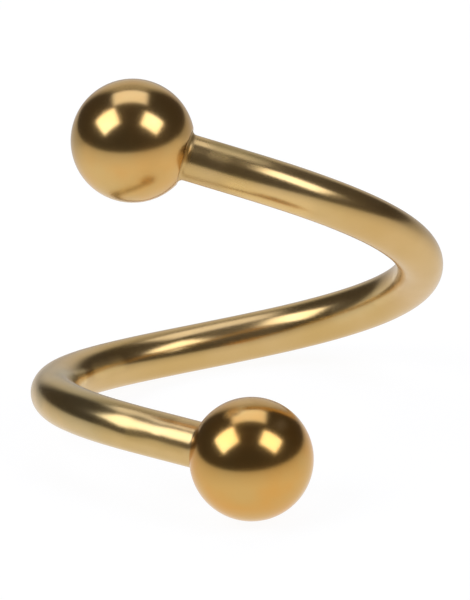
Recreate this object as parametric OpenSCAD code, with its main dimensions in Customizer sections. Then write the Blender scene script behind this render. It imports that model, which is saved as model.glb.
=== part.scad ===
// Spiral barbell: a round wire wound into nearly one left-handed turn, with
// a screw-on ball on each end. It lies as it settles on a table, on the
// lower ball and on the back of the turn, with the turn leaning backwards.

/* [Wire] */
// Thickness of the wire
wire_d = 1.2; // [1:0.1:1.6]
// Clear width inside the turn
inner_d = 8; // [7:0.5:12]
// Direction from the turn's axis in which the bend starts, at its upper end
start_angle = 268.1; // [260:0.1:280]
// How far round the bend goes from its upper end to its lower end
bend_angle = 333.8; // [310:0.1:345]
// Drop in one whole turn, as the bend leaves its upper end
pitch_upper = 7.25; // [6.5:0.05:9]
// Drop in one whole turn, halfway round
pitch_middle = 7.5; // [7:0.05:9]
// Drop in one whole turn, as the bend reaches its lower end
pitch_lower = 5.85; // [5.5:0.05:9]
// Straight wire between the bend and the upper ball
straight_upper = 1.4; // [1:0.01:2]
// Straight wire between the bend and the lower ball
straight_lower = 1.7; // [1:0.01:2]

/* [Posts] */
// Width of the threaded post over its thread
post_d = 0.9; // [0.8:0.05:1]
// Length of the post from the wire's shoulder to its tip
post_length = 1.9; // [1.5:0.1:2]
// Bevel round the tip of the post
post_bevel = 0.08; // [0.04:0.01:0.12]

/* [Balls] */
// Width of each ball
ball_d = 3.15; // [3:0.01:4]
// Width of the small flat round the hole, where the ball meets the wire
flat_d = 1.5; // [1.4:0.05:1.7]
// Gap all round between the post and the hole
post_gap = 0.02; // [0.01:0.01:0.05]
// Gap between the wire's shoulder and the flat of the ball
seat_gap = 0.02; // [0.01:0.01:0.05]
// Depth of the hole beyond the tip of the post
hole_spare = 0.15; // [0.1:0.05:0.3]
// Bevel round the mouth of the hole
mouth_bevel = 0.06; // [0.03:0.01:0.1]

/* [Resting pose] */
// How far the turn's axis leans backwards, away from the upright
lean_back = 24.26; // [20:0.01:30]
// How far the turn's axis leans to the right
lean_side = 7.11; // [4:0.01:10]

/* [Smoothness] */
// Flat sides round the bent wire
wire_sides = 24; // [16:4:28]
// Angle between two rings of the bent wire
ring_step = 4.5; // [4:0.5:8]

/* [Hidden] */
$fn = 96;

gold = [0.80, 0.60, 0.30];
turn_r = inner_d / 2 + wire_d / 2;
post_r = post_d / 2;
hole_r = post_r + post_gap;
ball_r = ball_d / 2;
// the middle of a ball lies this far behind its own flat
flat_depth = sqrt(ball_r * ball_r - flat_d * flat_d / 4);
// and this far past the shoulder of the wire
ball_reach = seat_gap + flat_depth;
hole_depth = post_length - seat_gap + hole_spare;
// a many-sided wire with corners at this radius holds as much metal as a round one
corner_r = wire_d / 2 * sqrt(2 * PI / (wire_sides * sin(360 / wire_sides)));
overlap = 0.3;

// the pitch changes smoothly along the bend; s runs from -0.5 to 0.5
pitch_slope = pitch_lower - pitch_upper;
pitch_bow = 2 * (pitch_upper + pitch_lower - 2 * pitch_middle);
function pitch_at(s) = pitch_middle + pitch_slope * s + pitch_bow * s * s;
function height_at(s) = -(pitch_middle * s + pitch_slope * s * s / 2
    + pitch_bow * s * s * s / 3) * bend_angle / 360;
function angle_at(s) = start_angle + (s + 0.5) * bend_angle;

// the middle line of the wire, and the way it runs, from the upper end down
function on_bend(s) = let (a = angle_at(s))
    [turn_r * cos(a), turn_r * sin(a), height_at(s)];
function along_bend(s) = let (a = angle_at(s))
    unit([-turn_r * sin(a), turn_r * cos(a), -pitch_at(s) / (2 * PI)]);
function outwards(s) = [cos(angle_at(s)), sin(angle_at(s)), 0];
function unit(v) = v / norm(v);

bend_rings = ceil(bend_angle / ring_step);
upper_way = -along_bend(-0.5);
lower_way = along_bend(0.5);
upper_shoulder = on_bend(-0.5) + straight_upper * upper_way;
lower_shoulder = on_bend(0.5) + straight_lower * lower_way;
upper_middle = upper_shoulder + ball_reach * upper_way;
lower_middle = lower_shoulder + ball_reach * lower_way;

// rings of corners along the wire: one at each shoulder, the rest on the bend
function ring(middle, out, up) = [for (k = [0 : wire_sides - 1])
    let (a = 360 * k / wire_sides)
    middle + corner_r * (cos(a) * out + sin(a) * up)];
function ring_at(s, middle) =
    ring(middle, outwards(s), cross(along_bend(s), outwards(s)));
wire_rings = concat(
    [ring_at(-0.5, upper_shoulder)],
    [for (i = [0 : bend_rings]) let (s = i / bend_rings - 0.5) ring_at(s, on_bend(s))],
    [ring_at(0.5, lower_shoulder)]);
ring_count = len(wire_rings);
wire_corners = [for (r = wire_rings, p = r) p];

function corner(i, k) = i * wire_sides + k % wire_sides;
wire_faces = concat(
    [[for (k = [0 : wire_sides - 1]) corner(0, k)]],
    [for (i = [0 : ring_count - 2], k = [0 : wire_sides - 1], half = [0, 1])
        half == 0
            ? [corner(i, k), corner(i + 1, k), corner(i + 1, k + 1)]
            : [corner(i, k), corner(i + 1, k + 1), corner(i, k + 1)]],
    [[for (k = [wire_sides - 1 : -1 : 0]) corner(ring_count - 1, k)]]);

// the resting pose, and the shift that puts the table under it at height zero
function leant(p) = let (
    y = p.y * cos(lean_back) + p.z * sin(lean_back),
    z = p.z * cos(lean_back) - p.y * sin(lean_back))
    [p.x * cos(lean_side) + z * sin(lean_side), y,
     z * cos(lean_side) - p.x * sin(lean_side)];
wire_leant = [for (p = wire_corners) leant(p)];
balls_leant = [leant(upper_middle), leant(lower_middle)];
function lowest(i) = min(min([for (p = wire_leant) p[i]]),
    min([for (p = balls_leant) p[i]]) - ball_r);
function highest(i) = max(max([for (p = wire_leant) p[i]]),
    max([for (p = balls_leant) p[i]]) + ball_r);
under_middle = [(lowest(0) + highest(0)) / 2, (lowest(1) + highest(1)) / 2, lowest(2)];

module at_rest() {
    translate(-under_middle) rotate([-lean_back, lean_side, 0]) children();
}

// turns a piece built upwards from the floor so that it points along a way
module pointing(start, way) {
    translate(start) rotate([0, acos(way.z), atan2(way.y, way.x)]) children();
}

module post() {
    translate([0, 0, -overlap]) cylinder(r = post_r, h = overlap + post_length - post_bevel);
    translate([0, 0, post_length - post_bevel])
        cylinder(r1 = post_r, r2 = post_r - post_bevel, h = post_bevel);
}

// a ball whose flat lies a seat gap above the floor, with its hole pointing down
module screw_ball() {
    translate([0, 0, seat_gap]) difference() {
        translate([0, 0, flat_depth]) sphere(r = ball_r);
        translate([-ball_r, -ball_r, -ball_r]) cube([ball_d, ball_d, ball_r]);
        translate([0, 0, -overlap]) cylinder(r = hole_r, h = overlap + hole_depth);
        translate([0, 0, -overlap])
            cylinder(r1 = hole_r + mouth_bevel + overlap, r2 = hole_r,
                h = mouth_bevel + overlap);
    }
}

module spiral_bar() {
    color(gold) at_rest() union() {
        polyhedron(points = wire_corners, faces = wire_faces, convexity = 6);
        pointing(upper_shoulder, upper_way) post();
        pointing(lower_shoulder, lower_way) post();
    }
}

module upper_ball() {
    color(gold) at_rest() pointing(upper_shoulder, upper_way) screw_ball();
}

module lower_ball() {
    color(gold) at_rest() pointing(lower_shoulder, lower_way) screw_ball();
}

spiral_bar();
upper_ball();
lower_ball();
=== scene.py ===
"""Dresses the spiral barbell: polished wire, threaded posts and screw-on balls, on a pale studio floor."""

import logging
import math
from dataclasses import asdict, dataclass, field
from enum import Enum
from functools import reduce
from typing import Any

import bmesh
import bpy
from bmesh.types import BMEdge, BMesh, BMVert
from bpy.types import Material, Mesh, Node, NodeSocket, NodeTree, Object
from mathutils import Matrix, Vector


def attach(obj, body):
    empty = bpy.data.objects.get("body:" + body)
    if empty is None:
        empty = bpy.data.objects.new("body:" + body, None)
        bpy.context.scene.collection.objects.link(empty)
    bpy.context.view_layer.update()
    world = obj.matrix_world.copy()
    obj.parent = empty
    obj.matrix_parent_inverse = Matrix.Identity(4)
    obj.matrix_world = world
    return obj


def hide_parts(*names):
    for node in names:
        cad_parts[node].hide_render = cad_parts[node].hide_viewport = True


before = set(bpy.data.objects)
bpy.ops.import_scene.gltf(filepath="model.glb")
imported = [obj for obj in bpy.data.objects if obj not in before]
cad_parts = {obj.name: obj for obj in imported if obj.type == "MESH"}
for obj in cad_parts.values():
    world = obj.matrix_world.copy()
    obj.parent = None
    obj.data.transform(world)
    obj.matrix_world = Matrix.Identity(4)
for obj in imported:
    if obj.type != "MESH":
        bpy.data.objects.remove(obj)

logging.basicConfig(level=logging.INFO, format="%(message)s")
log = logging.getLogger("spiral_barbell")

MM = 0.001
MICRON = 1e-6
WELD = 1e-7
ROUND_STEPS = 6
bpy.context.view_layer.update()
Place = tuple[float, float, float]
Colour = tuple[float, float, float]
SOCKET_KINDS = {float: "Float", int: "Int", tuple: "Vector"}


class End(Enum):
    """The two ends of the wire."""

    UPPER = "upper"
    LOWER = "lower"


# A small writer for node trees, shared by the geometry and the finishes
class NodeSketch:
    """Places nodes in a tree and links them, so that a formula reads in its own order.

    A value is a plain one, or the output of another node, which is then linked.
    """

    def __init__(self, tree: NodeTree) -> None:
        """Starts on a geometry or shader tree."""
        self.tree = tree

    def feed(self, inputs: Any, values: dict[Any, Any]) -> None:
        """Feeds a node's inputs.

        Args:
            inputs: the node's inputs.
            values: the value of each, by its name or number.
        """
        for key, value in values.items():
            if isinstance(value, NodeSocket):
                self.tree.links.new(value, inputs[key])
            else:
                inputs[key].default_value = value

    def node(self, kind: str, feeds: dict[Any, Any] | None = None, **settings: Any) -> Node:
        """Adds a node, sets its options and feeds its inputs.

        Args:
            kind: the node's type name.
            feeds: the value of each input, by its name or number.
            settings: the node's own options.

        Returns:
            The new node.
        """
        made = self.tree.nodes.new(kind)
        for name, value in settings.items():
            setattr(made, name, value)
        self.feed(made.inputs, feeds or {})
        return made

    def math(self, operation: str, *values: Any, clamp: bool = False) -> NodeSocket:
        """Adds one step of arithmetic, whose result may be held between 0 and 1."""
        feeds = dict(enumerate(values))
        return self.node("ShaderNodeMath", feeds, operation=operation, use_clamp=clamp).outputs[0]

    def total(self, *values: Any) -> NodeSocket:
        """Adds up two or more values."""
        return reduce(lambda one, other: self.math("ADD", one, other), values)

    def product(self, *values: Any) -> NodeSocket:
        """Multiplies two or more values."""
        return reduce(lambda one, other: self.math("MULTIPLY", one, other), values)

    def towards(self, share: Any, value: Any, goal: Any) -> NodeSocket:
        """Moves a value by a share of the way towards a goal."""
        return self.math("MULTIPLY_ADD", share, self.math("SUBTRACT", goal, value), value)

    def vector(self, operation: str, *values: Any) -> NodeSocket:
        """Adds one step of vector arithmetic."""
        feeds = dict(enumerate(values))
        return self.node("ShaderNodeVectorMath", feeds, operation=operation).outputs[0]

    def scaled(self, place: Any, factor: Any) -> NodeSocket:
        """Multiplies a vector by a number."""
        feeds = {0: place, "Scale": factor}
        return self.node("ShaderNodeVectorMath", feeds, operation="SCALE").outputs[0]

    def measure(self, operation: str, *values: Any) -> NodeSocket:
        """Adds a step of vector arithmetic that gives a number, such as DOT_PRODUCT or LENGTH."""
        feeds = dict(enumerate(values))
        return self.node("ShaderNodeVectorMath", feeds, operation=operation).outputs["Value"]

    def combine(self, x: Any, y: Any, z: Any) -> NodeSocket:
        """Joins three values into one vector."""
        return self.node("ShaderNodeCombineXYZ", {0: x, 1: y, 2: z}).outputs[0]

    def parts(self, place: NodeSocket) -> Any:
        """Splits a vector into its three numbers."""
        return self.node("ShaderNodeSeparateXYZ", {0: place}).outputs

    def ramp(self, value: Any, low: Any, high: Any, to_low: float = 0.0, to_high: float = 1.0,
             kind: str = "SMOOTHSTEP") -> NodeSocket:
        """Maps the range from low to high to another, eased unless its kind is LINEAR, and holds its ends."""
        feeds = {"Value": value, "From Min": low, "From Max": high, "To Min": to_low, "To Max": to_high}
        return self.node("ShaderNodeMapRange", feeds, interpolation_type=kind).outputs["Result"]

    def noise(self, place: Any, size: Any, detail: float, roughness: float) -> NodeSocket:
        """Adds a noise between 0 and 1.

        Args:
            place: where it is read.
            size: how large its lumps are.
            detail: how many finer noises lie on them.
            roughness: how strong those are.

        Returns:
            The noise.
        """
        spread = self.scaled(place, self.math("DIVIDE", 1.0, size))
        feeds = {"Vector": spread, "Scale": 1.0, "Detail": detail, "Roughness": roughness}
        return self.node("ShaderNodeTexNoise", feeds).outputs[0]

    def blend(self, factor: Any, under: Any, over: Colour, kind: str = "MIX") -> NodeSocket:
        """Mixes a colour into another, which is an output or has four numbers."""
        feeds = {"Factor": factor, 6: under, 7: (*over, 1.0)}
        return self.node("ShaderNodeMix", feeds, data_type="RGBA", blend_type=kind).outputs[2]

    def group(self, tree: NodeTree, **feeds: Any) -> NodeSocket:
        """Places a group of marks and gives its one output."""
        return self.node("ShaderNodeGroup", feeds, node_tree=tree).outputs[0]

    def store(self, geometry: NodeSocket, name: str, value: NodeSocket, kind: str = "FLOAT") -> NodeSocket:
        """Notes a value on each point of a geometry."""
        feeds = {"Geometry": geometry, "Name": name, "Value": value}
        return self.node("GeometryNodeStoreNamedAttribute", feeds, data_type=kind, domain="POINT").outputs[0]


def link_new(name: str, data: Any) -> Object:
    """Makes an object and adds it to the scene.

    Args:
        name: the object's name.
        data: its mesh, light or camera.

    Returns:
        The object, at the origin.
    """
    made = bpy.data.objects.new(name, data)
    bpy.context.scene.collection.objects.link(made)
    return made


class GeometryRecipe:
    """A Geometry Nodes tree with named inputs, and the plain mesh that it makes."""

    def __init__(self, name: str, inputs: dict[str, str]) -> None:
        """Opens a tree with its inputs.

        Args:
            name: the tree's name.
            inputs: each input's name and kind, such as Float or Int.
        """
        self.tree = bpy.data.node_groups.new(name, "GeometryNodeTree")
        self.sockets = {
            key: self.tree.interface.new_socket(name=key, in_out="INPUT", socket_type=f"NodeSocket{kind}")
            for key, kind in {**inputs, "Finish": "Material"}.items()
        }
        self.tree.interface.new_socket(name="Geometry", in_out="OUTPUT", socket_type="NodeSocketGeometry")
        self.sketch = NodeSketch(self.tree)
        self.given = self.tree.nodes.new("NodeGroupInput").outputs

    def close(self, geometry: NodeSocket) -> None:
        """Ends the tree in real geometry with its finish.

        Args:
            geometry: the output that holds the made geometry.
        """
        real = self.sketch.node("GeometryNodeRealizeInstances", {"Geometry": geometry})
        feeds = {"Geometry": real.outputs[0], "Material": self.given["Finish"]}
        dressed = self.sketch.node("GeometryNodeSetMaterial", feeds)
        self.tree.links.new(dressed.outputs[0], self.tree.nodes.new("NodeGroupOutput").inputs[0])

    def make(self, name: str, values: dict[str, Any]) -> Object:
        """Runs the tree once and keeps the result as a plain mesh.

        Args:
            name: the new piece's name.
            values: a value for each input.

        Returns:
            The piece, with no modifier left.
        """
        piece = link_new(name, bpy.data.meshes.new(name))
        modifier = piece.modifiers.new("recipe", "NODES")
        modifier.node_group = self.tree
        for key, value in values.items():
            modifier[self.sockets[key].identifier] = value
        bpy.context.view_layer.update()
        evaluated = piece.evaluated_get(bpy.context.evaluated_depsgraph_get())
        mesh = bpy.data.meshes.new_from_object(evaluated)
        piece.modifiers.clear()
        piece.data = mesh
        mesh.name = name
        mesh.materials.clear()
        mesh.materials.append(values["Finish"])
        return piece


def finish_mesh(piece: Object, mesh: BMesh) -> None:
    """Welds a piece's doubles, turns its faces outwards and writes it back, smooth but for its marked edges.

    Args:
        piece: the object that takes the mesh.
        mesh: the edited mesh, which is freed.
    """
    bmesh.ops.remove_doubles(mesh, verts=mesh.verts, dist=WELD)
    bmesh.ops.recalc_face_normals(mesh, faces=mesh.faces)
    if mesh.calc_volume(signed=True) < 0:
        bmesh.ops.reverse_faces(mesh, faces=mesh.faces)
    for face in mesh.faces:
        face.smooth = True
    open_edges = sum(1 for edge in mesh.edges if not edge.is_manifold)
    log.info("%s: %d faces, %d open edges, %.3f cubic mm", piece.name, len(mesh.faces), open_edges,
             mesh.calc_volume() / MM ** 3)
    mesh.to_mesh(piece.data)
    mesh.free()


# Finishes
@dataclass(frozen=True)
class MarkGroups:
    """Shader node groups that the finishes share, with places and sizes in mm."""

    cloud: NodeTree
    waves: NodeTree
    hairlines: NodeTree
    patch: NodeTree

    @staticmethod
    def opened(name: str, output: str, **inputs: float | None) -> tuple[NodeSketch, Any, Any]:
        """Opens a shader group with its sockets.

        Args:
            name: the group's name.
            output: the name of its one output, a number.
            inputs: each input's usual number, or None for a place.

        Returns:
            The sketch of the group, its input outputs and its output node's inputs.
        """
        tree = bpy.data.node_groups.new(name, "ShaderNodeTree")
        for key, usual in inputs.items():
            kind = "NodeSocketVector" if usual is None else "NodeSocketFloat"
            socket = tree.interface.new_socket(name=key, in_out="INPUT", socket_type=kind)
            if usual is not None:
                socket.default_value = usual
        tree.interface.new_socket(name=output, in_out="OUTPUT", socket_type="NodeSocketFloat")
        given = tree.nodes.new("NodeGroupInput").outputs
        return NodeSketch(tree), given, tree.nodes.new("NodeGroupOutput").inputs

    @classmethod
    def cloud_group(cls) -> NodeTree:
        """Makes soft clouds, from 0 to 1, in which the coating's colour and polish vary.

        Returns:
            The group.
        """
        sketch, given, out = cls.opened("coating_cloud", "Cloud", Place=None, Size=1.0, Softness=0.5)
        middle, widest = 0.5, 0.4
        noise = sketch.noise(given["Place"], given["Size"], detail=2.5, roughness=0.45)
        half = sketch.product(given["Softness"], widest)
        low, high = sketch.math("SUBTRACT", middle, half), sketch.total(middle, half)
        sketch.feed(out, {"Cloud": sketch.ramp(noise, low, high)})
        return sketch.tree

    @classmethod
    def waves_group(cls) -> NodeTree:
        """Makes the faint waves that polishing leaves, as a height from 0 to 1.

        Returns:
            The group.
        """
        sketch, given, out = cls.opened("polish_waves", "Height", Place=None, Size=1.0)
        sketch.feed(out, {"Height": sketch.noise(given["Place"], given["Size"], detail=1.5, roughness=0.4)})
        return sketch.tree

    @classmethod
    def hairlines_group(cls) -> NodeTree:
        """Makes fine lines along the place's first axis.

        Returns:
            The group.
        """
        sketch, given, out = cls.opened("hairline_marks", "Marks", Place=None, Spacing=0.2, Length=2.0)
        faint, full = 0.52, 0.72
        sizes = sketch.combine(given["Length"], given["Spacing"], given["Spacing"])
        drawn = sketch.vector("DIVIDE", given["Place"], sizes)
        noise = sketch.noise(drawn, 1.0, detail=3.0, roughness=0.6)
        sketch.feed(out, {"Marks": sketch.ramp(noise, faint, full)})
        return sketch.tree

    @classmethod
    def patch_group(cls) -> NodeTree:
        """Makes a patch round the line between two places, 1 inside and 0 outside, with a ragged edge.

        Returns:
            The group.
        """
        sketch, given, out = cls.opened("wear_and_paint_patch", "Patch", Place=None, From=None, To=None, Reach=1.0,
                                        Softness=0.5, Grain=0.35, Breakup=0.5)
        shortest, fraying = 1e-6, 4.0
        run = sketch.vector("SUBTRACT", given["To"], given["From"])
        gone = sketch.vector("SUBTRACT", given["Place"], given["From"])
        length = sketch.math("MAXIMUM", sketch.measure("DOT_PRODUCT", run, run), shortest)
        share = sketch.math("DIVIDE", sketch.measure("DOT_PRODUCT", gone, run), length, clamp=True)
        away = sketch.measure("LENGTH", sketch.vector("SUBTRACT", gone, sketch.scaled(run, share)))
        noise = sketch.noise(given["Place"], given["Grain"], detail=2.0, roughness=0.5)
        ragged = sketch.product(sketch.math("SUBTRACT", noise, 0.5), given["Breakup"])
        inside = sketch.math("SUBTRACT", 1.0, sketch.math("DIVIDE", away, given["Reach"]))
        depth = sketch.math("MULTIPLY_ADD", ragged, fraying, inside)
        sketch.feed(out, {"Patch": sketch.ramp(depth, 0.0, given["Softness"])})
        return sketch.tree

    @classmethod
    def build(cls) -> "MarkGroups":
        """Builds the four groups once."""
        return cls(cls.cloud_group(), cls.waves_group(), cls.hairlines_group(), cls.patch_group())


@dataclass(frozen=True)
class WearAndPaintedLight:
    """A duller stretch of the coating, within reach of the line from start to end. Places and sizes in mm.

    Inside it, haze is the roughness, metal is how metallic it stays and tone multiplies the colour; in
    some patches that tone is painted light or shade. Its edge is soft over a share of the reach, and frays
    by breakup.
    """

    start: Place
    end: Place
    reach: float
    haze: float = 0.262
    metal: float = 0.96
    tone: Colour = (1.0, 1.0, 1.0)
    softness: float = 0.9
    breakup: float = 0.1


def new_material(name: str) -> tuple[Material, Node, NodeSketch]:
    """Makes a node material.

    Args:
        name: the material's name.

    Returns:
        The material, its shader and the sketch of its tree.
    """
    material = bpy.data.materials.new(name)
    material.use_nodes = True
    return material, material.node_tree.nodes["Principled BSDF"], NodeSketch(material.node_tree)


@dataclass(frozen=True)
class GoldFinish:
    """Gold-coloured coating, polished: sizes in mm, colours as light, heights in microns."""

    name: str
    pale: Colour = (0.600, 0.385, 0.138)
    deep: Colour = (0.560, 0.345, 0.112)
    rim: Colour = (1.0, 0.97, 0.92)
    cloud_size: float = 1.6
    cloud_softness: float = 0.55
    smooth_polish: float = 0.20
    hazy_polish: float = 0.245
    wave_size: float = 0.55
    wave_height: float = 0.5
    mark_spacing: float = 0.06
    mark_length: float = 1.2
    mark_haze: float = 0.03
    metal: float = 1.0
    wrap: str = ""
    patches: tuple[WearAndPaintedLight, ...] = ()

    def build(self, groups: MarkGroups) -> Material:
        """Builds the finish as a node material.

        Args:
            groups: the shared groups of marks.

        Returns:
            The material.
        """
        material, shader, sketch = new_material(self.name)
        material.diffuse_color = (*self.pale, 1.0)
        place = sketch.scaled(sketch.node("ShaderNodeTexCoord").outputs["Object"], 1 / MM)
        along = sketch.node("ShaderNodeUVMap", uv_map=self.wrap).outputs[0] if self.wrap else place
        cloud = sketch.group(groups.cloud, Place=place, Size=self.cloud_size, Softness=self.cloud_softness)
        marks = sketch.group(groups.hairlines, Place=along, Spacing=self.mark_spacing,
                             Length=self.mark_length)
        waves = sketch.group(groups.waves, Place=place, Size=self.wave_size)
        colour = sketch.blend(cloud, (*self.pale, 1.0), self.deep)
        haze = sketch.ramp(cloud, 0.0, 1.0, self.smooth_polish, self.hazy_polish, kind="LINEAR")
        dull = sketch.math("MULTIPLY_ADD", marks, self.mark_haze, haze)
        bare: Any = self.metal
        for patch in self.patches:
            wear_and_paint_mask = sketch.group(groups.patch, Place=place, From=patch.start, To=patch.end, Reach=patch.reach,
                                Softness=patch.softness, Breakup=patch.breakup)
            dull = sketch.towards(wear_and_paint_mask, dull, patch.haze)
            bare = sketch.towards(wear_and_paint_mask, bare, patch.metal)
            # each patch's tone multiplies the colour: the coating's own colour in some patches, painted light
            # or shade in others
            colour = sketch.blend(wear_and_paint_mask, colour, patch.tone, "MULTIPLY")
        height = {"Strength": 1.0, "Distance": self.wave_height * MICRON, "Height": waves}
        bump = sketch.node("ShaderNodeBump", height).outputs[0]
        sketch.feed(shader.inputs, {"Base Color": colour, "Roughness": dull, "Metallic": bare, "Normal": bump,
                                    "Specular Tint": (*self.rim, 1.0)})
        return material


# The worn places, and the painted light and shade, that show in the photograph, each from a start to an end
# with its reach
WIRE_WEAR_AND_PAINTED_LIGHT = (
    # the right turn, and the left turn with the front strand, differ a little in colour
    WearAndPaintedLight((3.9, -0.5, 6.3), (4.3, 3.0, 3.0), 1.9, haze=0.225, metal=0.98, tone=(0.98, 0.95, 0.94)),
    WearAndPaintedLight((-4.3, 0.8, 1.9), (-2.4, -3.9, 2.1), 1.9, haze=0.225, metal=0.98, tone=(0.97, 1.01, 1.08)),
    WearAndPaintedLight((-4.4, 0.6, 2.0), (-3.8, -2.7, 2.3), 1.3, haze=0.225, metal=0.99, tone=(0.83, 0.89, 0.96)),
    # the upper strand's whole face, and a milky stretch low on its front whose lighter tone is a painted pale
    # reflection over the lower strands' reflected streak
    WearAndPaintedLight((-0.5, -1.30, 8.60), (3.3, -0.95, 7.00), 1.25, haze=0.235, metal=0.93),
    WearAndPaintedLight((-0.75, -1.40, 8.08), (0.50, -1.60, 7.60), 0.36, haze=0.36, metal=0.92, softness=0.6, breakup=0.0),
    WearAndPaintedLight((0.4, -1.60, 7.65), (2.0, -1.55, 6.95), 0.50, metal=0.86, tone=(1.18, 1.18, 1.15)),
    # the mottled stretch beside the upper ball, its fade towards the highlight, and the joint's brown shade
    WearAndPaintedLight((-0.08, -1.36, 8.53), (0.20, -1.40, 8.43), 0.24, metal=0.78, tone=(1.15, 1.15, 1.10)),
    WearAndPaintedLight((0.12, -1.00, 8.66), (1.05, -1.10, 8.34), 0.50, haze=0.40, metal=0.84, tone=(0.84, 0.88, 0.84),
         breakup=0.0),
    WearAndPaintedLight((0.9, -0.95, 8.38), (2.6, -0.95, 7.72), 0.42, metal=0.88, tone=(0.92, 0.92, 0.92)),
    WearAndPaintedLight((-0.79, -1.47, 8.53), (-0.73, -1.36, 8.70), 0.21, metal=0.94, tone=(0.66, 0.52, 0.32), breakup=0.0),
    # painted pale light inside both turns: a lighter, bluer tone and a milky finish over the inner creases,
    # in place of their dark and orange reflections
    WearAndPaintedLight((-4.42, 0.45, 2.02), (-4.25, 1.20, 1.69), 0.38, metal=0.80, tone=(1.20, 1.30, 1.40)),
    WearAndPaintedLight((-4.16, 1.58, 1.55), (-4.03, 2.10, 1.39), 0.34, haze=0.25, metal=0.82, tone=(1.55, 1.72, 1.90)),
    WearAndPaintedLight((-3.74, 2.85, 1.24), (-3.20, 3.70, 1.05), 0.30, metal=0.85, tone=(1.32, 1.36, 1.32)),
    WearAndPaintedLight((4.16, 1.50, 3.90), (3.98, 2.70, 3.13), 0.38, haze=0.245, metal=0.83, tone=(1.45, 1.68, 2.20)),
    WearAndPaintedLight((3.92, 3.05, 2.87), (3.50, 3.72, 2.40), 0.40, haze=0.245, metal=0.88, tone=(1.18, 1.28, 1.45)),
    WearAndPaintedLight((3.35, 4.00, 2.15), (2.50, 4.70, 1.62), 0.38, metal=0.92, tone=(1.06, 1.12, 1.20)),
    # the front strand's broad highlight, the flank below it, milky and with a painted warm glow over its dark
    # band, a small painted pale reflection beside them, and the back strand's top
    WearAndPaintedLight((-3.0, -3.3, 2.3), (-1.3, -4.4, 2.05), 0.9, haze=0.25, metal=0.95, softness=0.5),
    WearAndPaintedLight((-2.70, -3.70, 2.02), (-1.45, -4.42, 1.85), 0.28, metal=0.76, tone=(1.0, 0.97, 0.85)),
    WearAndPaintedLight((-1.35, -3.98, 2.36), (-1.02, -4.18, 2.30), 0.30, metal=0.84, tone=(1.30, 1.30, 1.40)),
    WearAndPaintedLight((-0.9, 5.35, 1.15), (0.7, 5.45, 1.2), 0.60, metal=0.88),
    # the far side of the left turn: a painted dark reflection at its outer edge, and painted pale light on
    # top
    WearAndPaintedLight((-5.12, -0.35, 2.05), (-5.10, -0.85, 1.93), 0.32, haze=0.225, metal=0.98, tone=(0.84, 0.87, 0.86)),
    WearAndPaintedLight((-4.62, 0.70, 2.15), (-4.50, 1.40, 1.95), 0.34, metal=0.88, tone=(1.20, 1.20, 1.25)),
)
# the streak low on the upper ball, where the wire's reflection is painted paler and warmer, in a wide soft
# part and a narrow pale one
UPPER_BALL_PAINTED_STREAK = (
    WearAndPaintedLight((-2.6, -1.75, 7.75), (-1.65, -2.10, 8.32), 0.75, metal=0.86, tone=(1.0, 0.99, 0.93)),
    WearAndPaintedLight((-2.62, -1.78, 7.78), (-1.80, -2.09, 8.18), 0.32, metal=0.80, tone=(1.13, 1.07, 0.92), breakup=0.0),
)
# the smudge on the lower ball's right, and painted pale light over its front where the wire's orange
# reflection lies
LOWER_BALL_SMUDGE_AND_PAINTED_LIGHT = (
    WearAndPaintedLight((1.22, -5.53, 2.72), (1.30, -5.44, 2.74), 0.26, haze=0.25, metal=0.90, tone=(0.92, 0.98, 1.25),
         softness=1.0),
    WearAndPaintedLight((-0.45, -4.75, 2.92), (0.30, -4.90, 3.16), 0.34, metal=0.82, tone=(1.12, 1.15, 1.25), breakup=0.0),
    WearAndPaintedLight((0.30, -4.90, 3.16), (1.55, -4.80, 2.63), 0.34, metal=0.82, tone=(1.08, 1.10, 1.20), breakup=0.0),
    WearAndPaintedLight((-0.06, -5.28, 3.03), (0.18, -5.26, 3.09), 0.26, metal=0.80, tone=(1.20, 1.35, 1.60), breakup=0.0),
)


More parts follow.
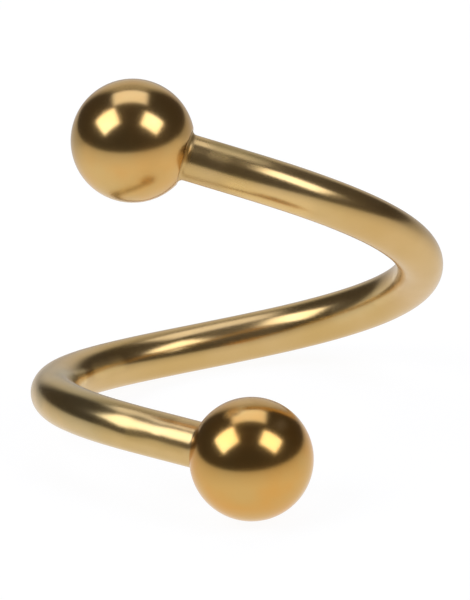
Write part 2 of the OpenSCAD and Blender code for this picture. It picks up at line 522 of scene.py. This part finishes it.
# The wire
@dataclass
class WireRoute:
    """The wire's middle line as it lies at rest: a left-handed turn with a straight stretch at each end.

    Sizes are in metres, angles in degrees, and a pitch is the rise of a whole turn.
    """

    turn_radius: float = 4.6 * MM
    start_angle: float = 268.1
    bend_angle: float = 333.8
    pitch_upper: float = 7.25 * MM
    pitch_middle: float = 7.5 * MM
    pitch_lower: float = 5.85 * MM
    straight_upper: float = 1.418 * MM
    straight_lower: float = 1.718 * MM
    lean_back: float = 24.26
    lean_side: float = 7.11
    shift: Place = (0.02166 * MM, 1.72088 * MM, 2.82428 * MM)

    def settled(self, local: Vector, shift: bool = True) -> Vector:
        """Leans a point or direction as the barbell rests.

        Args:
            local: the point in the turn's own frame.
            shift: whether it is a point, which also moves, or a direction.

        Returns:
            The point or direction in the row frame.
        """
        back = Matrix.Rotation(-math.radians(self.lean_back), 3, "X")
        aside = Matrix.Rotation(math.radians(self.lean_side), 3, "Y")
        return aside @ back @ local + (Vector(self.shift) if shift else Vector())

    def bend_end(self, end: End) -> tuple[Vector, Vector]:
        """Gives where the bend ends, and the way the wire leaves it, in the turn's own frame.

        Args:
            end: which end.

        Returns:
            The point, and the unit vector outwards along the wire.
        """
        s = -0.5 if end is End.UPPER else 0.5
        pitch = self.pitch_upper if end is End.UPPER else self.pitch_lower
        angle = math.radians(self.start_angle + (s + 0.5) * self.bend_angle)
        bow = 2 * (self.pitch_upper + self.pitch_lower - 2 * self.pitch_middle)
        slope = self.pitch_lower - self.pitch_upper
        fallen = self.pitch_middle * s + slope * s * s / 2 + bow * s ** 3 / 3
        across, forth = self.turn_radius * math.cos(angle), self.turn_radius * math.sin(angle)
        way = Vector((-forth, across, -pitch / (2 * math.pi))).normalized()
        return Vector((across, forth, -fallen * self.bend_angle / 360)), way * (1 if end is End.LOWER else -1)

    def shoulder(self, end: End) -> Matrix:
        """Gives the frame of a shoulder: its middle, with the third axis outwards along the wire.

        Args:
            end: which end.

        Returns:
            The frame as a matrix, in the row frame.
        """
        point, way = self.bend_end(end)
        straight = self.straight_upper if end is End.UPPER else self.straight_lower
        place, out = self.settled(point + way * straight), self.settled(way, shift=False)
        turn = out.to_track_quat("Z", "Y").to_matrix().to_4x4()
        return Matrix.Translation(place) @ turn


def shoulder_wear(route: WireRoute, end: End, ahead: float, reach: float, **look: float) -> WearAndPaintedLight:
    """Places a dull patch round a point of the wire's axis that lies ahead of its shoulder. Sizes in mm."""
    centre = tuple(route.shoulder(end) @ Vector((0, 0, ahead * MM)) / MM)
    return WearAndPaintedLight(centre, centre, reach, metal=0.86, breakup=0.0, **look)


@dataclass(frozen=True)
class ToolMark:
    """A shallow dent that the bending tool left, or a low swelling where the depth is negative. Metres."""

    name: str
    place: Place
    reach: float
    depth: float


@dataclass
class TurnedWire:
    """The bent wire, closed and a little uneven, with a small flare where each shoulder meets its ball."""

    route: WireRoute
    wire_radius: float = 0.6 * MM
    flare_run: float = 0.13 * MM
    flare_out: float = 0.12 * MM
    flare_end: float = 75.0
    flare_steps: int = 8
    unevenness: float = 0.006 * MM
    uneven_size: float = 1.3 * MM
    marks: tuple[ToolMark, ...] = (
        ToolMark("Front Dent", (-2.72 * MM, -3.56 * MM, 2.28 * MM), 0.44 * MM, 0.042 * MM),
        ToolMark("Front Swelling", (-2.02 * MM, -4.06 * MM, 2.06 * MM), 0.26 * MM, -0.020 * MM),
    )
    rings: int = 420
    sides: int = 72
    wrap: str = "wire_wrap"
    name: str = "wire_turn"

    def sizes(self) -> dict[str, Any]:
        """Names the sizes that the sweep takes.

        Returns:
            Each input's name and value.
        """
        sizes = {key.replace("_", " ").title(): value for key, value in asdict(self.route).items()}
        for key in ("Straight Upper", "Straight Lower"):
            sizes[key] -= self.flare_run
        sizes |= {"Wire Radius": self.wire_radius, "Unevenness": self.unevenness,
                  "Uneven Size": self.uneven_size, "Rings": self.rings, "Sides": self.sides}
        for mark in self.marks:
            for key, value in (("Place", mark.place), ("Reach", mark.reach), ("Depth", mark.depth)):
                sizes[f"{mark.name} {key}"] = value
        return sizes

    def middle_line(self, sketch: NodeSketch, given: Any, index: NodeSocket) -> tuple[NodeSocket, NodeSocket]:
        """Works out the middle line: straight, round the turn with a changing pitch, and straight again.

        Args:
            sketch: the sketch of the sweep.
            given: the sweep's inputs.
            index: the number of each ring.

        Returns:
            How far past the bend's start each ring lies, and its middle in the row frame.
        """
        math_, vector, total, product = sketch.math, sketch.vector, sketch.total, sketch.product
        radius, before, after = given["Turn Radius"], given["Straight Upper"], given["Straight Lower"]
        upper, middle, lower = given["Pitch Upper"], given["Pitch Middle"], given["Pitch Lower"]
        start, bend = math_("RADIANS", given["Start Angle"]), math_("RADIANS", given["Bend Angle"])
        rise = math_("DIVIDE", middle, 2 * math.pi)
        arc = product(bend, math_("SQRT", total(product(radius, radius), product(rise, rise))))
        share = math_("DIVIDE", index, math_("SUBTRACT", given["Rings"], 1.0))
        run = math_("SUBTRACT", product(share, total(arc, before, after)), before)
        s = math_("SUBTRACT", math_("DIVIDE", run, arc, clamp=True), 0.5)

        def spoke(angle: NodeSocket) -> tuple[NodeSocket, NodeSocket]:
            """Gives both sides of the turn's radius at an angle."""
            return product(radius, math_("COSINE", angle)), product(radius, math_("SINE", angle))

        def straight(angle: NodeSocket, pitch: NodeSocket, length: NodeSocket) -> NodeSocket:
            """Goes straight on from the bend.

            Args:
                angle: where it leaves the bend.
                pitch: the pitch there.
                length: how far it goes, or how far back if negative.

            Returns:
                The step from the bend.
            """
            across, forth = spoke(angle)
            way = sketch.combine(product(forth, -1.0), across, math_("DIVIDE", pitch, -2 * math.pi))
            return sketch.scaled(vector("NORMALIZE", way), length)

        squared = product(s, s)
        slope = math_("SUBTRACT", lower, upper)
        bow = product(math_("SUBTRACT", total(upper, lower), product(middle, 2.0)), 2.0)
        fall = total(product(middle, s), product(slope, squared, 0.5),
                     math_("DIVIDE", product(bow, squared, s), 3.0))
        height = product(fall, math_("DIVIDE", given["Bend Angle"], -360.0))
        on_bend = sketch.combine(*spoke(math_("MULTIPLY_ADD", total(s, 0.5), bend, start)), height)
        first = straight(start, upper, math_("MINIMUM", run, 0.0))
        last = straight(total(start, bend), lower, math_("MAXIMUM", math_("SUBTRACT", run, arc), 0.0))
        place = vector("ADD", on_bend, vector("ADD", first, last))
        back = product(math_("RADIANS", given["Lean Back"]), -1.0)
        for axis, lean in (("X_AXIS", back), ("Y_AXIS", math_("RADIANS", given["Lean Side"]))):
            feeds = {"Vector": place, "Angle": lean}
            place = sketch.node("ShaderNodeVectorRotate", feeds, rotation_type=axis).outputs[0]
        return run, vector("ADD", place, given["Shift"])

    def raised(self, sketch: NodeSketch, given: Any, point: NodeSocket) -> NodeSocket:
        """Works out how far the surface stands proud of a true round, with the marks of the bending tool.

        Args:
            sketch: the sketch of the sweep.
            given: the sweep's inputs.
            point: where the surface is.

        Returns:
            The height, which is negative in a dent.
        """
        math_, product = sketch.math, sketch.product
        noise = sketch.noise(point, given["Uneven Size"], detail=1.0, roughness=0.4)
        raised = product(math_("SUBTRACT", noise, 0.5), given["Unevenness"])
        for mark in self.marks:
            place, reach, depth = (given[f"{mark.name} {key}"] for key in ("Place", "Reach", "Depth"))
            away = math_("DIVIDE", sketch.measure("DISTANCE", point, place), reach)
            fade = math_("EXPONENT", product(away, away, -1.0))
            raised = math_("SUBTRACT", raised, product(fade, depth))
        return raised

    def sweep(self, sizes: dict[str, Any]) -> GeometryRecipe:
        """Writes the sweep of a round section along the turn as a Geometry Nodes tree.

        Args:
            sizes: the named sizes, which are the tree's inputs.

        Returns:
            The tree, ready to run.
        """
        recipe = GeometryRecipe("wire_sweep", {key: SOCKET_KINDS[type(size)] for key, size in sizes.items()})
        sketch, given = recipe.sketch, recipe.given
        index = sketch.node("GeometryNodeInputIndex").outputs[0]
        run, centre = self.middle_line(sketch, given, index)
        line = sketch.node("GeometryNodeMeshLine", {"Count": given["Rings"]}, mode="OFFSET")
        curve = sketch.node("GeometryNodeMeshToCurve", {"Mesh": line.outputs[0]}).outputs[0]
        noted = sketch.store(sketch.store(curve, "along", run), "core", centre, "FLOAT_VECTOR")
        placed = sketch.node("GeometryNodeSetPosition", {"Geometry": noted, "Position": centre})
        round_ = {"Resolution": given["Sides"], "Radius": given["Wire Radius"]}
        section = sketch.node("GeometryNodeCurvePrimitiveCircle", round_, mode="RADIUS")
        counted = sketch.store(section.outputs[0], "around", sketch.math("DIVIDE", index, given["Sides"]))
        swept = sketch.node("GeometryNodeCurveToMesh", {"Curve": placed.outputs[0], "Profile Curve": counted})
        point = sketch.node("GeometryNodeInputPosition").outputs[0]
        core = sketch.node("GeometryNodeInputNamedAttribute", {"Name": "core"}, data_type="FLOAT_VECTOR")
        outwards = sketch.vector("NORMALIZE", sketch.vector("SUBTRACT", point, core.outputs["Attribute"]))
        offset = sketch.scaled(outwards, self.raised(sketch, given, point))
        worked = {"Geometry": swept.outputs[0], "Offset": offset}
        recipe.close(sketch.node("GeometryNodeSetPosition", worked).outputs[0])
        return recipe

    def wrap_surface(self, mesh: Mesh) -> None:
        """Turns the stored distances into a UV map in mm, and closes its seam.

        Args:
            mesh: the swept mesh, with its along and around attributes.
        """
        along, around = mesh.attributes["along"].data, mesh.attributes["around"].data
        girth = 2 * math.pi * self.wire_radius / MM
        layer = mesh.uv_layers.new(name=self.wrap)
        for face in mesh.polygons:
            turns = [around[mesh.loops[i].vertex_index].value for i in face.loop_indices]
            seam = max(turns) - min(turns) > 0.5
            for i, turn in zip(face.loop_indices, turns):
                wound = turn + 1.0 if seam and turn < 0.5 else turn
                layer.data[i].uv = (along[mesh.loops[i].vertex_index].value / MM, wound * girth)
        for name in ("along", "around", "core"):
            mesh.attributes.remove(mesh.attributes[name])

    def close_end(self, mesh: BMesh, end: End) -> None:
        """Flares a shoulder outwards in a hollow curve and closes it with a flat face.

        Args:
            mesh: the swept wire, open at that end.
            end: which end.
        """
        shoulder = self.route.shoulder(end)
        middle, out = shoulder.translation, shoulder.to_3x3().col[2]
        near = self.wire_radius + self.flare_run
        rim = [edge for edge in mesh.edges
               if edge.is_boundary and all((vert.co - middle).length < near for vert in edge.verts)]
        turns = [math.radians(self.flare_end) * k / self.flare_steps for k in range(self.flare_steps + 1)]
        outline = [(self.wire_radius + self.flare_out * (1 - math.cos(a)), self.flare_run * (math.sin(a) - 1))
                   for a in turns]
        outline.append((outline[-1][0], 0.0))
        for (was, height), (wide, higher) in zip(outline, outline[1:]):
            moved = bmesh.ops.extrude_edge_only(mesh, edges=rim)["geom"]
            centre = middle + out * height
            for vert in (g for g in moved if isinstance(g, BMVert)):
                vert.co = centre + (vert.co - centre) * (wide / was) + out * (higher - height)
            rim = [g for g in moved if isinstance(g, BMEdge) and g.is_boundary]
        bmesh.ops.contextual_create(mesh, geom=rim)
        for edge in rim:
            edge.smooth = False

    def build(self, finish: Material) -> Object:
        """Makes the wire.

        Args:
            finish: its material.

        Returns:
            The closed wire.
        """
        sizes = self.sizes()
        piece = self.sweep(sizes).make(self.name, {**sizes, "Finish": finish})
        self.wrap_surface(piece.data)
        mesh = bmesh.new()
        mesh.from_mesh(piece.data)
        for end in End:
            self.close_end(mesh, end)
        finish_mesh(piece, mesh)
        return piece


# The screw threads
@dataclass
class ScrewThread:
    """One tree for both sides of the thread: a sleeve whose radius rises from bare to full along a helix."""

    pitch: float = 0.225 * MM
    foot: float = 0.16
    crest: float = 0.84
    sides: int = 128
    rings_per_turn: int = 16
    tree: GeometryRecipe = field(init=False)

    def __post_init__(self) -> None:
        """Writes the tree."""
        numbers = ("Bare Radius", "Full Radius", "Pitch", "Start", "Length", "Run In", "Run Out")
        inputs = {**dict.fromkeys(numbers, "Float"), "Rings": "Int", "Sides": "Int"}
        self.tree = GeometryRecipe("screw_thread", inputs)
        sketch, given = self.tree.sketch, self.tree.given
        math_, total, product = sketch.math, sketch.total, sketch.product
        sheet = {"Size X": 1.0, "Size Y": 1.0, "Vertices X": total(given["Sides"], 1.0),
                 "Vertices Y": given["Rings"]}
        grid = sketch.node("GeometryNodeMeshGrid", sheet)
        parts = sketch.parts(sketch.node("GeometryNodeInputPosition").outputs[0])
        turn = total(parts[0], 0.5)
        height = product(total(parts[1], 0.5), given["Length"])
        phase = math_("FRACT", math_("SUBTRACT", math_("DIVIDE", height, given["Pitch"]), turn))
        flank = product(math_("ABSOLUTE", math_("SUBTRACT", phase, 0.5)), 2.0)
        run_in = math_("DIVIDE", height, given["Run In"], clamp=True)
        run_out = math_("DIVIDE", math_("SUBTRACT", given["Length"], height), given["Run Out"], clamp=True)
        risen = product(sketch.ramp(flank, self.foot, self.crest), run_in, run_out)
        radius = sketch.towards(risen, given["Bare Radius"], given["Full Radius"])
        angle = product(turn, 2 * math.pi)
        place = sketch.combine(product(radius, math_("COSINE", angle)), product(radius, math_("SINE", angle)),
                               total(height, given["Start"]))
        placed = sketch.node("GeometryNodeSetPosition", {"Geometry": grid.outputs[0], "Position": place})
        weld = {"Geometry": placed.outputs[0], "Distance": WELD}
        self.tree.close(sketch.node("GeometryNodeMergeByDistance", weld).outputs[0])

    def sleeve(self, name: str, bare: float, full: float, start: float, length: float,
               fade: tuple[float, float], finish: Material) -> Object:
        """Makes a threaded sleeve about the third axis, open at both ends.

        Args:
            name: the piece's name.
            bare: the radius where the thread fades out.
            full: the radius at the top of the thread, or at the bottom of a groove.
            start: the height at which the sleeve starts.
            length: the sleeve's length.
            fade: the lengths over which the thread rises and fades.
            finish: its material.

        Returns:
            The sleeve.
        """
        rings = int(length / self.pitch * self.rings_per_turn) + 2
        values = {"Bare Radius": bare, "Full Radius": full, "Pitch": self.pitch, "Start": start,
                  "Length": length, "Run In": fade[0], "Run Out": fade[1], "Rings": rings,
                  "Sides": self.sides, "Finish": finish}
        return self.tree.make(name, values)


def add_rings(mesh: BMesh, outline: list[tuple[float, float]], sides: int,
              sharp: tuple[int, ...] = ()) -> None:
    """Turns an outline about the third axis. A first or last point on the axis closes to a single corner.

    Args:
        mesh: the mesh that takes the faces.
        outline: radius and height of each ring.
        sides: how many corners a ring has.
        sharp: the rings whose edges stay sharp.
    """
    angles = [2 * math.pi * k / sides for k in range(sides)]
    rings = []
    for radius, height in outline:
        if radius < WELD:
            rings.append([mesh.verts.new((0, 0, height))] * sides)
        else:
            corners = [(radius * math.cos(a), radius * math.sin(a), height) for a in angles]
            rings.append([mesh.verts.new(corner) for corner in corners])
    for low, high in zip(rings, rings[1:]):
        for k in range(sides):
            after = (k + 1) % sides
            mesh.faces.new(list(dict.fromkeys([low[k], low[after], high[after], high[k]])))
    for ring in (rings[i] for i in sharp):
        for k in range(sides):
            mesh.edges.get((ring[k], ring[(k + 1) % sides])).smooth = False


@dataclass
class ThreadedPost:
    """The threaded post that each end of the wire carries inside its ball."""

    route: WireRoute
    thread: ScrewThread
    crest_radius: float = 0.45 * MM
    root_radius: float = 0.325 * MM
    length: float = 1.882 * MM
    neck: float = 0.08 * MM
    tip: float = 0.1 * MM
    sunk: float = 0.06 * MM
    fade: tuple[float, float] = (0.14 * MM, 0.2 * MM)

    def build(self, end: End, finish: Material) -> Object:
        """Makes the post of one end, with a plain neck and a rounded tip.

        Args:
            end: which end.
            finish: its material.

        Returns:
            The closed post.
        """
        root, top = self.root_radius, self.length - self.tip
        piece = self.thread.sleeve(f"post_{end.value}", root, self.crest_radius, self.neck, top - self.neck,
                                   self.fade, finish)
        mesh = bmesh.new()
        mesh.from_mesh(piece.data)
        add_rings(mesh, [(0, -self.sunk), (root, -self.sunk), (root, self.neck)], self.thread.sides, (1,))
        turns = [math.pi / 2 * k / ROUND_STEPS for k in range(ROUND_STEPS + 1)]
        tip = [(root - self.tip * (1 - math.cos(a)), top + self.tip * math.sin(a)) for a in turns]
        add_rings(mesh, [*tip, (0, self.length)], self.thread.sides)
        bmesh.ops.transform(mesh, matrix=self.route.shoulder(end), verts=mesh.verts)
        finish_mesh(piece, mesh)
        return piece


@dataclass
class ScrewBall:
    """A ball with a small flat and a blind threaded hole."""

    route: WireRoute
    thread: ScrewThread
    ball_radius: float = 1.575 * MM
    flat_radius: float = 0.75 * MM
    seat_gap: float = 0.002 * MM
    hole_radius: float = 0.47 * MM
    groove_radius: float = 0.56 * MM
    hole_depth: float = 2.03 * MM
    mouth_bevel: float = 0.06 * MM
    drill_point: float = 0.16 * MM
    edge_round: float = 0.06 * MM
    fade: tuple[float, float] = (0.1 * MM, 0.25 * MM)
    flat_rings: int = 4
    ball_rings: int = 96

    def outside(self) -> list[tuple[float, float]]:
        """Draws the outline from the hole's mouth over the flat and its rounded edge to the far pole.

        Returns:
            Radius and height of each ring, with the flat at height zero.
        """
        depth = math.sqrt(self.ball_radius ** 2 - self.flat_radius ** 2)
        # the rounding touches the flat from above and the ball from inside
        round_ = self.edge_round
        across = math.sqrt((self.ball_radius - round_) ** 2 - (depth - round_) ** 2)
        lean = math.atan2(across, depth - round_)
        mouth = self.hole_radius + self.mouth_bevel
        flat = [(mouth + (across - mouth) * k / self.flat_rings, 0.0) for k in range(self.flat_rings + 1)]
        leans = [lean * k / ROUND_STEPS for k in range(1, ROUND_STEPS + 1)]
        edge = [(across + round_ * math.sin(a), round_ * (1 - math.cos(a))) for a in leans]
        turns = [lean + (math.pi - lean) * k / self.ball_rings for k in range(1, self.ball_rings + 1)]
        ball = [(self.ball_radius * math.sin(a), depth - self.ball_radius * math.cos(a)) for a in turns]
        return [(self.hole_radius, self.mouth_bevel), *flat, *edge, *ball]

    def build(self, end: End, finish: Material) -> Object:
        """Makes the ball of one end in its place against the shoulder.

        Args:
            end: which end.
            finish: its material.

        Returns:
            The closed ball.
        """
        wall = self.hole_depth - self.drill_point
        piece = self.thread.sleeve(f"ball_{end.value}", self.hole_radius, self.groove_radius,
                                   self.mouth_bevel, wall - self.mouth_bevel, self.fade, finish)
        mesh = bmesh.new()
        mesh.from_mesh(piece.data)
        add_rings(mesh, self.outside(), self.thread.sides, (0, 1))
        shares = [k / ROUND_STEPS for k in range(ROUND_STEPS + 1)]
        cone = [(self.hole_radius * (1 - share), wall + self.drill_point * share) for share in shares]
        add_rings(mesh, cone, self.thread.sides, (0,))
        seat = self.route.shoulder(end) @ Matrix.Translation((0, 0, self.seat_gap))
        bmesh.ops.transform(mesh, matrix=seat, verts=mesh.verts)
        finish_mesh(piece, mesh)
        return piece


# The studio
def facing(azimuth: float, elevation: float, roll: float, distance: float, target: Vector) -> Matrix:
    """Gives a place that looks at a target, as a lamp or a camera does, with its third axis away from it.

    Args:
        azimuth: the angle round the barbell from the front, in degrees.
        elevation: the angle above the floor.
        roll: the turn about the line of sight.
        distance: how far off it is.
        target: what it looks at.

    Returns:
        The place as a matrix.
    """
    a, e = math.radians(azimuth), math.radians(elevation)
    away = Vector((math.sin(a) * math.cos(e), -math.cos(a) * math.cos(e), math.sin(e)))
    across = Vector((math.cos(a), math.sin(a), 0))
    level = Matrix((across, away.cross(across), away)).transposed()
    rolled = level @ Matrix.Rotation(math.radians(roll), 3, "Z")
    return Matrix.Translation(target + away * distance) @ rolled.to_4x4()


def hang_lamp(name: str, width: float, height: float, light: Colour, place: Matrix) -> None:
    """Hangs a flat lamp that the camera itself doesn't see.

    Args:
        name: the lamp's name.
        width: its width.
        height: its height.
        light: how bright its face is in each colour, whatever its size.
        place: where it hangs, shining against its third axis.
    """
    lamp = bpy.data.lights.new(name, "AREA")
    lamp.shape = "RECTANGLE"
    lamp.size, lamp.size_y = width, height
    strongest = max(light)
    lamp.color = tuple(share / strongest for share in light)
    lamp.energy = strongest * math.pi * width * height
    hung = link_new(name, lamp)
    hung.matrix_world = place
    hung.visible_camera = False


@dataclass(frozen=True)
class Softbox:
    """A soft light: where it stands round the barbell, how wide it looks from there, and its light."""

    name: str
    azimuth: float
    elevation: float
    half_width: float
    half_height: float
    turn: float
    light: Colour = (2.7, 2.85, 3.4)
    distance: float = 0.9
    target_height: float = 5 * MM

    def build(self) -> None:
        """Hangs the light, facing the barbell."""
        target = Vector((0, 0, self.target_height))
        place = facing(self.azimuth, self.elevation, self.turn, self.distance, target)
        hang_lamp(self.name, 2 * self.half_width * self.distance, 2 * self.half_height * self.distance,
                  self.light, place)


@dataclass(frozen=True)
class OverheadPanel:
    """A wide panel in layers, brightest in its middle, so that its edges are soft in the metal."""

    width: float = 0.736
    depth: float = 0.56
    place: Place = (0.008, 0.368, 0.8)
    light: Colour = (1.3125, 1.4, 1.75)
    layers: tuple[tuple[float, float], ...] = ((0.35, 1.06), (0.30, 0.98), (0.35, 0.89))

    def build(self) -> None:
        """Hangs the layers, each with its share of the light and its own size."""
        for layer, (share, wide) in enumerate(self.layers):
            light = tuple(share * part for part in self.light)
            place = Matrix.Translation(Vector(self.place) + Vector((0, 0, layer * MM)))
            hang_lamp(f"panel_overhead_{layer}", self.width * wide, self.depth * wide, light, place)


@dataclass(frozen=True)
class Floor:
    """The pale floor, which glows a little so that shadows stay light.

    The metal mirrors a floor that dims at a low angle and towards the back of the studio.
    """

    radius: float = 0.5
    rings: int = 8
    sides: int = 96
    white: float = 0.1
    roughness: float = 0.9
    glow: float = 0.94
    mirrored_glow: float = 0.94
    slant_power: float = 0.35
    slant_full: float = 0.81
    slant_dim: float = 0.37
    back_start: float = -2 * MM
    back_end: float = 30 * MM
    back_dim: float = 0.66

    def finish(self) -> Material:
        """Makes the floor's material.

        Returns:
            The material.
        """
        material, shader, sketch = new_material("floor_white")
        grazing = sketch.node("ShaderNodeLayerWeight", {"Blend": 0.5}).outputs["Facing"]
        steep = sketch.math("POWER", sketch.math("SUBTRACT", 1.0, grazing), self.slant_power)
        low = sketch.ramp(steep, 0.0, self.slant_full, self.slant_dim, 1.0, kind="LINEAR")
        depth = sketch.parts(sketch.node("ShaderNodeTexCoord").outputs["Object"])[1]
        far = sketch.ramp(depth, self.back_start, self.back_end, 1.0, self.back_dim)
        seen = sketch.node("ShaderNodeLightPath").outputs["Is Camera Ray"]
        feeds = {"Factor": seen, 2: sketch.product(low, far, self.mirrored_glow), 3: self.glow}
        glow = sketch.node("ShaderNodeMix", feeds, data_type="FLOAT").outputs[0]
        sketch.feed(shader.inputs, {
            "Base Color": (self.white, self.white, self.white, 1.0), "Roughness": self.roughness,
            "Specular IOR Level": 0.0, "Emission Color": (1.0, 1.0, 1.0, 1.0), "Emission Strength": glow})
        return material

    def build(self) -> None:
        """Lays the floor, drawn from its rim inwards so that its faces point up."""
        mesh = bmesh.new()
        add_rings(mesh, [(self.radius * k / self.rings, 0) for k in range(self.rings, -1, -1)], self.sides)
        floor = link_new("floor", bpy.data.meshes.new("floor"))
        mesh.to_mesh(floor.data)
        mesh.free()
        floor.data.materials.append(self.finish())


@dataclass(frozen=True)
class Room:
    """The dim room with a pale wall behind the barbell, as the metal mirrors it; the camera sees only white.

    Each wall edge starts at its first number and ends at its second: sideways, and as a height, both seen
    from the barbell as parts of a direction.
    """

    dim: Colour = (0.068, 0.061, 0.056)
    wall_side: tuple[float, float] = (0.24, 0.66)
    wall_fade: tuple[float, float] = (0.44, 0.56)
    wall_top: tuple[float, float] = (0.66, 0.80)
    wall_low: float = 0.70
    wall_high: float = 0.50
    least_behind: float = 0.001

    def build(self) -> None:
        """Sets the room as the scene's world."""
        world = bpy.data.worlds.new("room")
        bpy.context.scene.world = world
        world.use_nodes = True
        sketch = NodeSketch(world.node_tree)
        parts = sketch.parts(sketch.node("ShaderNodeTexCoord").outputs["Generated"])
        behind = sketch.math("MAXIMUM", parts[1], self.least_behind)
        aside = sketch.math("DIVIDE", sketch.math("ABSOLUTE", parts[0]), behind)
        within = sketch.ramp(aside, *self.wall_side, 1.0, 0.0)
        fade = sketch.ramp(parts[2], *self.wall_fade, self.wall_low, self.wall_high)
        wall = sketch.product(within, fade, sketch.ramp(parts[2], *self.wall_top, 1.0, 0.0))
        white = sketch.math("MAXIMUM", wall, sketch.node("ShaderNodeLightPath").outputs["Is Camera Ray"])
        colour = sketch.vector("MAXIMUM", sketch.combine(white, white, white), self.dim)
        sketch.feed(world.node_tree.nodes["Background"].inputs, {"Color": colour, "Strength": 1.0})


@dataclass(frozen=True)
class PhotoCamera:
    """The camera at the photograph's angle to the barbell. Degrees and metres, lens and sensor in mm."""

    azimuth: float = 2.736
    elevation: float = 21.337
    roll: float = -4.863
    distance: float = 0.4
    target: Place = (0.1015 * MM, -0.3967 * MM, 4.1731 * MM)
    lens: float = 942.76
    sensor: float = 36.0
    nearest: float = 0.01
    farthest: float = 20.0

    def build(self) -> None:
        """Places the camera and makes it the scene's own."""
        lens = bpy.data.cameras.new("camera")
        lens.type = "PERSP"
        lens.sensor_width = self.sensor
        lens.lens = self.lens
        lens.clip_start, lens.clip_end = self.nearest, self.farthest
        camera = link_new("camera", lens)
        target = Vector(self.target)
        camera.matrix_world = facing(self.azimuth, self.elevation, self.roll, self.distance, target)
        bpy.context.scene.camera = camera


@dataclass(frozen=True)
class Studio:
    """The pale floor, the soft lights, the dim room and the camera."""

    stands: tuple[Any, ...] = (
        Floor(),
        Softbox("softbox_left", -67.5, 46.7, 0.316, 0.320, -18.0),
        Softbox("softbox_right", 57.7, 42.1, 0.262, 0.310, 25.0),
        OverheadPanel(),
        Room(),
        PhotoCamera(),
    )

    def build(self) -> None:
        """Builds the studio and sets plain, unaltered colours."""
        for stand in self.stands:
            stand.build()
        bpy.context.scene.view_settings.view_transform = "Standard"


def main() -> None:
    """Builds the barbell's pieces in order, has each ride on its body, and builds the studio."""
    groups = MarkGroups.build()
    route, thread = WireRoute(), ScrewThread()
    wire, post, ball = TurnedWire(route), ThreadedPost(route, thread), ScrewBall(route, thread)
    shoulders = (
        shoulder_wear(route, End.UPPER, ahead=0.5, reach=1.15, softness=0.5),
        shoulder_wear(route, End.UPPER, ahead=1.5, reach=1.80, softness=0.06, haze=0.40),
        shoulder_wear(route, End.LOWER, ahead=0.5, reach=1.15, softness=0.5),
    )
    gold_wire = GoldFinish("gold_wire", pale=(0.640, 0.440, 0.190), deep=(0.600, 0.400, 0.150),
                           smooth_polish=0.205, hazy_polish=0.24, mark_haze=0.015, metal=0.98,
                           wrap=wire.wrap, patches=WIRE_WEAR_AND_PAINTED_LIGHT + shoulders).build(groups)
    gold_thread = GoldFinish("gold_thread", smooth_polish=0.29, hazy_polish=0.34,
                             wave_height=0.2).build(groups)
    polish = {"smooth_polish": 0.17, "hazy_polish": 0.21, "cloud_size": 1.2}
    gold_balls = {
        End.UPPER: GoldFinish("gold_ball_upper", pale=(0.612, 0.408, 0.155), deep=(0.640, 0.372, 0.118),
                              patches=UPPER_BALL_PAINTED_STREAK, **polish).build(groups),
        End.LOWER: GoldFinish("gold_ball_lower", pale=(0.605, 0.372, 0.118), deep=(0.648, 0.340, 0.084),
                              patches=LOWER_BALL_SMUDGE_AND_PAINTED_LIGHT, **polish).build(groups),
    }

    made = [(wire.build(gold_wire), "bar", "gold_wire", "spiral_bar")]
    for end in End:
        made.append((post.build(end, gold_thread), "bar", "gold_wire", "spiral_bar"))
        made.append((ball.build(end, gold_balls[end]), f"{end.value}_ball", "gold_ball", f"{end.value}_ball"))
    for piece, body, slot, node in made:
        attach(piece, body)
        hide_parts(node)
        log.info("%s rides on %s for %s", piece.name, body, node)
    Studio().build()


if __name__ == "__main__":
    main()
